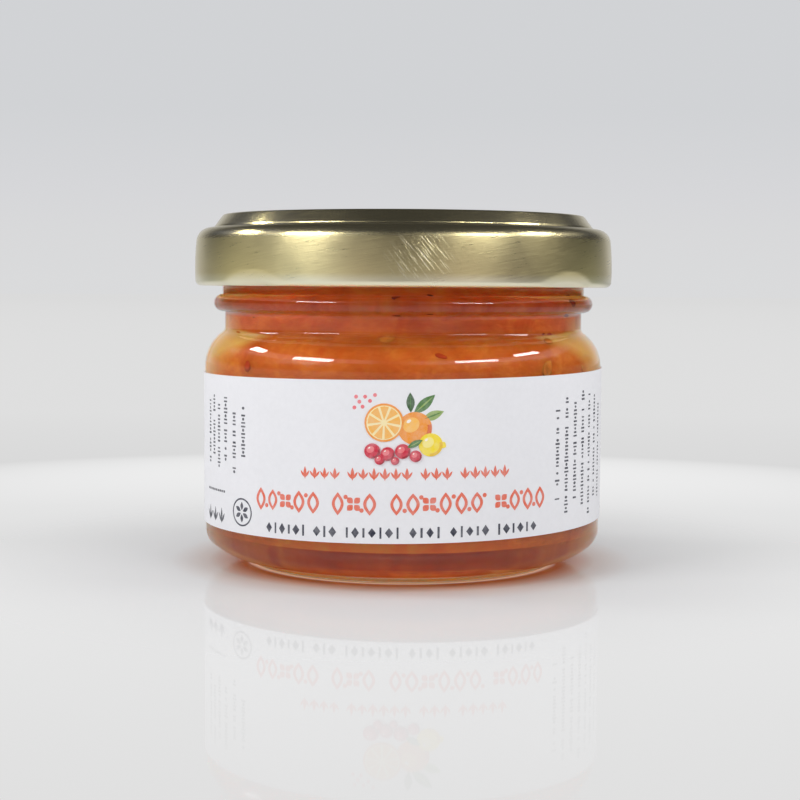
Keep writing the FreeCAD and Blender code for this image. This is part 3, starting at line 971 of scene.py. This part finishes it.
def oval(centre, across, up, turn=0.0, count=26, first=0.0, last=360.0):
    turns = np.radians(np.linspace(first, last, count, endpoint=last - first < 360))
    c, s = math.cos(math.radians(turn)), math.sin(math.radians(turn))
    places = [(across * math.cos(t), up * math.sin(t)) for t in turns]
    return [(centre[0] + x * c - y * s, centre[1] + x * s + y * c) for x, y in places]


def hoop(centre, across, up, width, first, last, count):
    # a bent band: part of an oval ring
    outer = oval(centre, across, up, 0.0, count, first, last - 1e-6)
    inner = oval(centre, across - width, up - width, 0.0, count, first, last - 1e-6)
    return outer + inner[::-1]


def petal(foot, tip, width, count=9):
    # a pointed oval from foot to tip
    foot, tip = Vector(foot), Vector(tip)
    along = tip - foot
    side = Vector((-along.y, along.x)).normalized() * width / 2
    steps = np.linspace(0, 1, count)
    left = [foot + along * t + side * math.sin(math.pi * t) for t in steps]
    right = [foot + along * t - side * math.sin(math.pi * t) for t in steps[-2:0:-1]]
    return [tuple(p) for p in left + right]


def block(across, up):
    return [(-across, -up), (across, -up), (across, up), (-across, up)]


def sprout(low, high, width, sideFoot, sideTip, sideWidth):
    # a small upright leaf with one at each side
    sides = [petal((way * sideFoot[0], sideFoot[1]), (way * sideTip[0], sideTip[1]), sideWidth)
             for way in (1, -1)]
    return [petal((0, low), (0, high), width), *sides]


def flatInk(name, shapes):
    # closed shapes on the unrolled label, in mm: (outline, colour, layer)
    work = bmesh.new()
    tint = work.verts.layers.float_color.new("tint")
    for outline, colour, layer in shapes:
        corners = [work.verts.new((u, v, layer * ink["thick"])) for u, v in outline]
        for corner in corners:
            corner[tint] = (*ink[colour], 1)
        face = work.faces.new(corners)
        face.normal_update()
        if face.normal.z < 0:
            face.normal_flip()
    reach = max(abs(v.co.x) for v in work.verts)
    for step in np.arange(-reach, reach, ink["flat"]):
        bmesh.ops.bisect_plane(work, geom=work.verts[:] + work.edges[:] + work.faces[:], dist=1e-5,
                               plane_co=(step, 0, 0), plane_no=(1, 0, 0))
    grown = bmesh.ops.extrude_face_region(work, geom=work.faces[:], use_keep_orig=True)["geom"]
    for item in grown:
        if isinstance(item, bmesh.types.BMVert):
            item.co.z = -ink["sink"]
    bmesh.ops.recalc_face_normals(work, faces=work.faces)
    return newObject(name, meshOf(name, work))


def makePrintTree():
    # marks set out on the unrolled label, some left out, all a little uneven, then wound on to it
    make, given = newGeometryTree("woundPrint", {
        "Places": "Geometry", "Mark": "Object", "Kept": "Float", "Uneven": "Float", "Seed": "Int"})
    seed = given["Seed"]
    lost = {"Probability": make.minus(1.0, given["Kept"]), "Seed": seed}
    dropped = make.out("FunctionNodeRandomValue", lost, data_type="BOOLEAN")[3]
    left = make.out("GeometryNodeDeleteGeometry", {"Geometry": given["Places"], "Selection": dropped})[0]
    small, large = make.minus(1.0, given["Uneven"]), make.plus(1.0, given["Uneven"])
    sizes = {0: make.vector(small, small, 1.0), 1: make.vector(large, large, 1.0), "Seed": seed}
    size = make.out("FunctionNodeRandomValue", sizes, data_type="FLOAT_VECTOR")[0]
    marks = make.instances(left, make.shapeOf(given["Mark"]), Scale=size)
    real = make.out("GeometryNodeRealizeInstances", {"Geometry": marks})[0]
    flat = make.parts(make.out("GeometryNodeInputPosition")[0])
    turn = make.maths("DIVIDE", flat["X"], paperOutside)
    radius = make.times(make.plus(flat["Z"], paperOutside), mm)
    rise = make.maths("MULTIPLY_ADD", turn, label["skew"] / math.tau, make.plus(flat["Y"], label["low"]))
    forward = make.times(-1.0, make.maths("COSINE", turn))
    wound = make.vector(make.times(radius, make.maths("SINE", turn)), make.times(radius, forward),
                        make.times(rise, mm))
    laid = make.out("GeometryNodeSetPosition", {"Geometry": real, "Position": wound})[0]
    return make.coated(laid, given["Material"])


def inkMaterial():
    material, make = newMaterial("printInk")
    tint = make.out("ShaderNodeAttribute", attribute_name="tint")["Color"]
    worn = make.ranged(make.noise(make.point(), 900.0, 4.0, 0.7), 0.35, 0.8, 0.0, 0.28)
    make.principled({"Base Color": make.mix(worn, tint, label["colour"]), "Roughness": 0.5,
                     "Specular IOR Level": 0.3})
    return material


printTree = makePrintTree()
printInk = inkMaterial()


def layPrint(name, shapes, places, kept=1.0, uneven=0.0, seed=1):
    mark = flatInk(name + "Mark", shapes)
    mesh = bpy.data.meshes.new(name + "Places")
    mesh.from_pydata([(u, v, 0) for u, v in places], [], [])
    piece = runNodes(name, mesh, printTree, {"Mark": mark, "Kept": kept, "Uneven": uneven, "Seed": seed,
                                             "Material": printInk})
    bpy.data.objects.remove(mark)
    turnOutwards(piece.data)
    settle(piece, "label")


def inked(colour, *outlines):
    return [(outline, colour, 1) for outline in outlines]


def roundFruit(centre, size, name, layer):
    # a lit ball of fruit: its body, the shade along its lower right, a glow and a glint
    u, v = centre
    return [
        (oval(centre, size, size * 0.96), name, layer),
        (hoop(centre, size * 0.985, size * 0.945, size * 0.24, -95, 15, 18), name + "Dark", layer + 1),
        (oval((u - size * 0.22, v + size * 0.2), size * 0.5, size * 0.42, 30), name + "Pale", layer + 1),
        (oval((u - size * 0.36, v + size * 0.42), size * 0.15, size * 0.09, 35, 12), "shine", layer + 2),
    ]


def leafShapes(foot, tip, width, body, vein, layer):
    foot, tip = Vector(foot), Vector(tip)
    return [
        (petal(foot, tip, width), body, layer),
        (petal(foot.lerp(tip, 0.12), foot.lerp(tip, 0.9), width * 0.16), vein, layer + 1),
    ]


def fruitShapes():
    # a cut orange at the upper left, a whole orange and a lemon beside it, berries along the front
    shapes = []
    for leaf in picture["leaves"]:
        shapes += leafShapes(*leaf, 1)
    shapes += roundFruit((1.5, 13.9), 2.05, "peel", 2)
    shapes += roundFruit((3.4, 11.9), 1.45, "lemon", 4)
    shapes.append((petal((4.5, 12.1), (5.25, 11.6), 0.8), "lemon", 4))
    cut, reach = picture["cut"], picture["cutRadius"]
    shapes.append((oval(cut, reach, reach * 0.98), "peel", 5))
    shapes.append((oval(cut, reach * 0.90, reach * 0.88), "pith", 6))
    for step in range(picture["wedges"]):
        turn = math.radians(step * 360 / picture["wedges"] + 8)
        way = Vector((math.cos(turn), math.sin(turn)))
        across = Vector((-way.y, way.x))
        foot, rim = Vector(cut) + way * reach * 0.14, Vector(cut) + way * reach * 0.80
        wedge = [foot, rim - across * reach * 0.22, rim + way * reach * 0.035, rim + across * reach * 0.22]
        shapes.append(([tuple(p) for p in wedge], "flesh", 7))
    for u, v, size in picture["berries"]:
        shapes += roundFruit((u, v), size, "berry", 8)
    shapes += leafShapes(*picture["frontLeaf"], 9)
    return shapes + [(oval(drop, 0.24, 0.24, 0, 10), "berryPale", 1) for drop in picture["drops"]]


def groupedPlaces(groups, start, step, gap, up):
    # places along a line, in groups of these lengths
    places, u = [], start
    for count in groups:
        for _ in range(count):
            places.append((u, up))
            u += step
        u += gap
    return places


def makePrint():
    layPrint("fruitPicture", fruitShapes(), [(0, 0)])
    # coral garland: open pointed leaves, a flower now and then, small dots between
    side = petal((0, -1.35), (0, 1.35), 1.55, 15)[:15] + petal((0, -0.85), (0, 0.85), 0.80, 15)[14::-1]
    leaf = inked("coral", side, [(-u, v) for u, v in side])
    flower = inked("coral", *[petal((0.14 * x, 0.14 * y), (1.12 * x, 1.12 * y), 0.78)
                              for x, y in ((0.7, 0.7), (-0.7, 0.7), (-0.7, -0.7), (0.7, -0.7))])
    places = groupedPlaces(*rows["garland"])
    blooms = places[2::4]
    between = [(u + rows["garland"][2] / 2, 4.0 + 1.6 * (i % 2)) for i, (u, v) in enumerate(places)]
    layPrint("coralBlooms", flower, blooms)
    layPrint("coralLeaves", leaf, [p for p in places if p not in blooms], uneven=0.05, seed=4)
    layPrint("coralDots", inked("coral", oval((0, 0), 0.27, 0.27, 0, 12)), between, kept=0.8, seed=3)
    # the lighter coral line above it, and the navy line at the foot
    layPrint("coralSprigs", inked("coral", *sprout(-0.72, 0.78, 0.42, (0.1, -0.5), (0.62, 0.3), 0.26)),
             groupedPlaces(*rows["sprigs"]), uneven=0.08, seed=5)
    places = groupedPlaces(*rows["foot"])
    lozenge = [(-0.46, 0), (0, -0.62), (0.46, 0), (0, 0.62)]
    layPrint("navyLozenges", inked("navy", lozenge), places[::2], uneven=0.1, seed=7)
    layPrint("navyBars", inked("navy", block(0.13, 0.62)), places[1::2], uneven=0.12, seed=8)
    # fine bands of small strokes at the sides, running up the label
    strokes, beads = [], []
    for u, low, high in rows["sides"]:
        for index, v in enumerate(np.arange(low, high, rows["sideStep"])):
            (beads if index % 3 == 1 else strokes).append((u, v))
    layPrint("sideStrokes", inked("slate", block(0.36, 0.11)), strokes, kept=0.84, uneven=0.22, seed=11)
    bead = oval((0, 0), 0.24, 0.17, 0, 12)
    layPrint("sideBeads", inked("slate", bead), beads, kept=0.84, uneven=0.15, seed=12)
    # small ornaments at the lower left
    spokes = []
    for step in range(6):
        turn = math.radians(step * 60 + 30)
        tip = (1.45 * math.cos(turn), 1.3 * math.sin(turn))
        spokes.append(petal((tip[0] * 0.2, tip[1] * 0.2), tip, 0.55))
    halves = [hoop((0, 0), 2.0, 1.78, 0.2, first, first + 180, 22) for first in (0, 180)]
    layPrint("cornerWheel", inked("navy", *halves, *spokes), [(-22.7, 2.7)])
    layPrint("cornerSprouts", inked("slate", *sprout(-0.95, 1.0, 0.42, (0.1, -0.8), (0.85, 0.35), 0.34)),
             [(-32.0, 1.75), (-29.9, 1.75), (-27.8, 1.75)], uneven=0.06)
    dashes = [(u, 4.9) for u in np.arange(-32.6, -26.8, 0.62)]
    layPrint("cornerDashes", inked("slate", block(0.2, 0.14)), dashes, seed=2)


# floor, surroundings, lamps and camera
studio = {
    "floorReach": 4.0,
    "floorColour": (0.70, 0.70, 0.71),
    # the floor's own glow, from in front of the jar to behind it, with a painted shade band at about the
    # jar's distance
    "floorTones": [(0.0, 0.735), (0.2, 0.71), (0.26, 0.69), (0.33, 0.60), (0.42, 0.61), (0.6, 0.70),
                   (0.9, 0.735)],
    # from and to (m): floorTones along Y, the others away from the jar's axis
    "toneSpan": (-0.12, 0.28),
    "fadeSpan": (0.4, 3.0),             # the floor's tone gives way to the horizon's
    "glowSpan": (0.022, 0.070),         # the lit table top gives way to its glow
    "paintedShadowSpan": (0.020, 0.036),
    "tableSpan": (0.10, 0.24),          # a mirror sees the table end
    "mirrorSpan": (0.075, 0.14),        # the floor's own mirroring ends
    "thrownSpan": (0.0212, 0.0196),
    "horizon": 0.705,
    "far": (0.700, 0.704, 0.712),       # the backdrop at the horizon
    "high": (0.640, 0.650, 0.668),      # the backdrop higher up
    "ambient": 0.60,
    "mirror": 0.42,                     # how strongly the floor mirrors near the jar
    "mirrorFacing": (0.55, 0.68),       # only where it is seen at a flat angle
    # what a mirror sees of the room, by azimuth from the back through -X, the front and +X
    "room": [(0.0, (0.70, 0.70, 0.71)), (0.08, (0.55, 0.55, 0.54)), (0.15, (0.32, 0.32, 0.28)),
             (0.21, (0.54, 0.53, 0.40)), (0.28, (0.62, 0.60, 0.50)), (0.36, (0.50, 0.56, 0.66)),
             (0.43, (0.60, 0.53, 0.52)), (0.50, (0.30, 0.28, 0.28)), (0.57, (0.60, 0.51, 0.52)),
             (0.65, (0.15, 0.12, 0.14)), (0.75, (0.11, 0.11, 0.09)), (0.84, (0.30, 0.31, 0.24)),
             (0.91, (0.32, 0.32, 0.32)), (0.96, (0.60, 0.60, 0.60)), (1.0, (0.70, 0.70, 0.71))],
    # a thin pale band high in the room, by the same azimuth
    "band": [(0.16, grey(0.0)), (0.20, grey(0.8)), (0.38, grey(1.0)), (0.44, grey(0.8)), (0.46, grey(0.1)),
             (0.505, grey(0.1)), (0.53, grey(0.8)), (0.66, grey(0.9)), (0.80, grey(0.8)), (0.88, grey(0.0))],
    # painted shadow on the floor close to the foot, reddish from light through the compote
    "paintedShadowTint": [(0.0, (0.52, 0.13, 0.045)), (0.12, (0.60, 0.18, 0.07)), (0.24, (0.84, 0.52, 0.42)),
              (0.38, (0.95, 0.84, 0.80)), (0.7, (1.0, 1.0, 1.0))],
    "thrown": (0.90, 0.72, 0.42),
    "thrownLevel": 0.75,
    "lampDistance": 0.8,
}
lamps = {
    # name: azimuth from the front towards +X, elevation, width and height in degrees, brightness
    "keyLeft": (-56, 30, 24, 7, 21),
    "sideLeft": (-105, 33, 13, 6, 20),
    "keyRight": (45, 30, 24, 4.5, 20),
    "sideRight": (86, 36, 18, 4.5, 22),
}
view = {
    "lens": 74.53,
    "away": 223.47,
    "height": 37.48,
    "pitch": 4.12,
    "yaw": 0.09,
    "roll": 0.336,
}


def roomShare(make, parts):
    return make.maths("MULTIPLY_ADD", make.azimuth(parts), 1 / math.tau, 0.5)


def makeFloor():
    # near the jar a real table top, further off its own glow towards the eye, so that no edge shows
    material, make = newMaterial("paleTable")
    place = make.out("ShaderNodeTexCoord")["Object"]
    parts, away = make.parts(place), make.length(place)
    tones = [(stop, grey(level)) for stop, level in studio["floorTones"]]
    tone = make.ramp(make.ranged(parts["Y"], *studio["toneSpan"]), tones)
    tone = make.mix(make.ranged(away, *studio["fadeSpan"]), tone, grey(studio["horizon"]))
    rays = make.out("ShaderNodeLightPath")
    seen = make.maths("MAXIMUM", rays["Is Camera Ray"],
                      make.maths("MAXIMUM", rays["Is Glossy Ray"], rays["Is Transmission Ray"]))
    glow = make.times(make.ranged(away, *studio["glowSpan"], smooth=True), seen)
    lit = make.mix(make.times(make.noise(place, 900.0, 3.0), 0.03), studio["floorColour"], grey(0.66))
    # painted shadow close to the foot, reddish from light through the compote
    lit = make.mix(1.0, lit, make.ramp(make.ranged(away, *studio["paintedShadowSpan"]), studio["paintedShadowTint"]), "MULTIPLY")
    colour = make.mix(glow, lit, grey(0.0))
    gloss = make.ranged(away, *studio["mirrorSpan"], studio["mirror"], 0.0, smooth=True)
    facing = make.out("ShaderNodeLayerWeight", {"Blend": 0.5})["Facing"]
    gloss = make.times(gloss, make.ranged(facing, *studio["mirrorFacing"]))
    # a mirror sees the table end in the dark room, except behind the jar
    ended = make.ranged(away, *studio["tableSpan"], smooth=True)
    tone = make.mix(make.times(ended, rays["Is Glossy Ray"]), tone,
                    make.ramp(roomShare(make, parts), studio["room"]))
    # the light that the jar and its filling throw under the foot
    under = make.ranged(away, *studio["thrownSpan"])
    tone = make.mix(under, tone, studio["thrown"])
    glow = make.maths("MAXIMUM", glow, make.times(under, studio["thrownLevel"]))
    make.principled({"Base Color": colour, "Roughness": 0.03, "IOR": 1.1, "Specular IOR Level": gloss,
                     "Emission Color": tone, "Emission Strength": glow})
    work = bmesh.new()
    bmesh.ops.create_circle(work, cap_ends=True, segments=96, radius=studio["floorReach"])
    newObject("floor", meshOf("floor", work), material)


def makeWorld():
    world = bpy.data.worlds.new("studio")
    scene.world = world
    world.use_nodes = True
    world.node_tree.nodes.clear()
    make = NodeMaker(world.node_tree)
    parts = make.parts(make.out("ShaderNodeTexCoord")["Generated"])
    height = parts["Z"]
    backdrop = make.ramp(height, [(0.0, studio["far"]), (0.03, (0.690, 0.692, 0.702)),
                                  (0.05, (0.675, 0.678, 0.695)), (0.10, studio["high"])])
    # mirrored: a dark room with paler things at eye height, and a lit backdrop behind the jar
    around = roomShare(make, parts)
    front = make.mix(make.ranged(height, 0.02, 0.11), make.ramp(around, studio["room"]), grey(0.035))
    strip = make.ramp(height, [(0.40, grey(0.0)), (0.45, grey(1.0)), (0.54, grey(1.0)), (0.59, grey(0.0))])
    strip = make.mix(1.0, strip, make.ramp(around, studio["band"]), "MULTIPLY")
    front = make.mix(1.0, front, strip, "ADD")
    back = make.ramp(height, [(0.0, studio["far"]), (0.16, grey(0.62)), (0.30, grey(0.45)), (0.6, grey(0.2)),
                              (1.0, grey(0.05))])
    mirrored = make.mix(make.ranged(parts["Y"], 0.70, 0.95, smooth=True), front, back)
    rays = make.out("ShaderNodeLightPath")
    clear = rays["Is Transmission Ray"]
    plain = make.mix(make.maths("MAXIMUM", rays["Is Camera Ray"], clear), grey(studio["ambient"]), backdrop)
    final = make.mix(make.times(rays["Is Glossy Ray"], make.minus(1.0, clear)), plain, mirrored)
    light = make.out("ShaderNodeBackground", {"Color": final, "Strength": 1.0})[0]
    make.add("ShaderNodeOutputWorld", {"Surface": light})


def makeLamps():
    away = studio["lampDistance"]
    aim = Vector((0, 0, rimHeight / 2 * mm))
    for name, (azimuth, elevation, width, rise, brightness) in lamps.items():
        data = bpy.data.lights.new(name, "AREA")
        data.shape = "RECTANGLE"
        data.size = 2 * away * math.tan(math.radians(width / 2))
        data.size_y = 2 * away * math.tan(math.radians(rise / 2))
        data.energy = brightness * math.pi * data.size * data.size_y
        lamp = newObject(name, data)
        turn, lift = math.radians(azimuth), math.radians(elevation)
        towards = Vector((math.sin(turn) * math.cos(lift), -math.cos(turn) * math.cos(lift), math.sin(lift)))
        lamp.location = aim + towards * away
        lamp.rotation_euler = towards.to_track_quat("Z", "Y").to_euler()
        lamp.visible_camera = False


def makeCamera():
    data = bpy.data.cameras.new("camera")
    data.lens = view["lens"]
    data.clip_start = 0.01
    camera = newObject("camera", data)
    camera.matrix_world = (Matrix.Translation(Vector((0, -view["away"], view["height"])) * mm)
                           @ Matrix.Rotation(math.radians(view["yaw"]), 4, "Z")
                           @ Matrix.Rotation(math.radians(90 - view["pitch"]), 4, "X")
                           @ Matrix.Rotation(math.radians(view["roll"]), 4, "Z"))
    scene.camera = camera


makeCamera()
makeWorld()
makeLamps()
makeFloor()
print("studio ready")
glass = makeJar()
makeThreads(glass.data.materials[0])
makeBits(makeCompote())
makeCap()
makePaper()
makePrint()
print("jar ready")
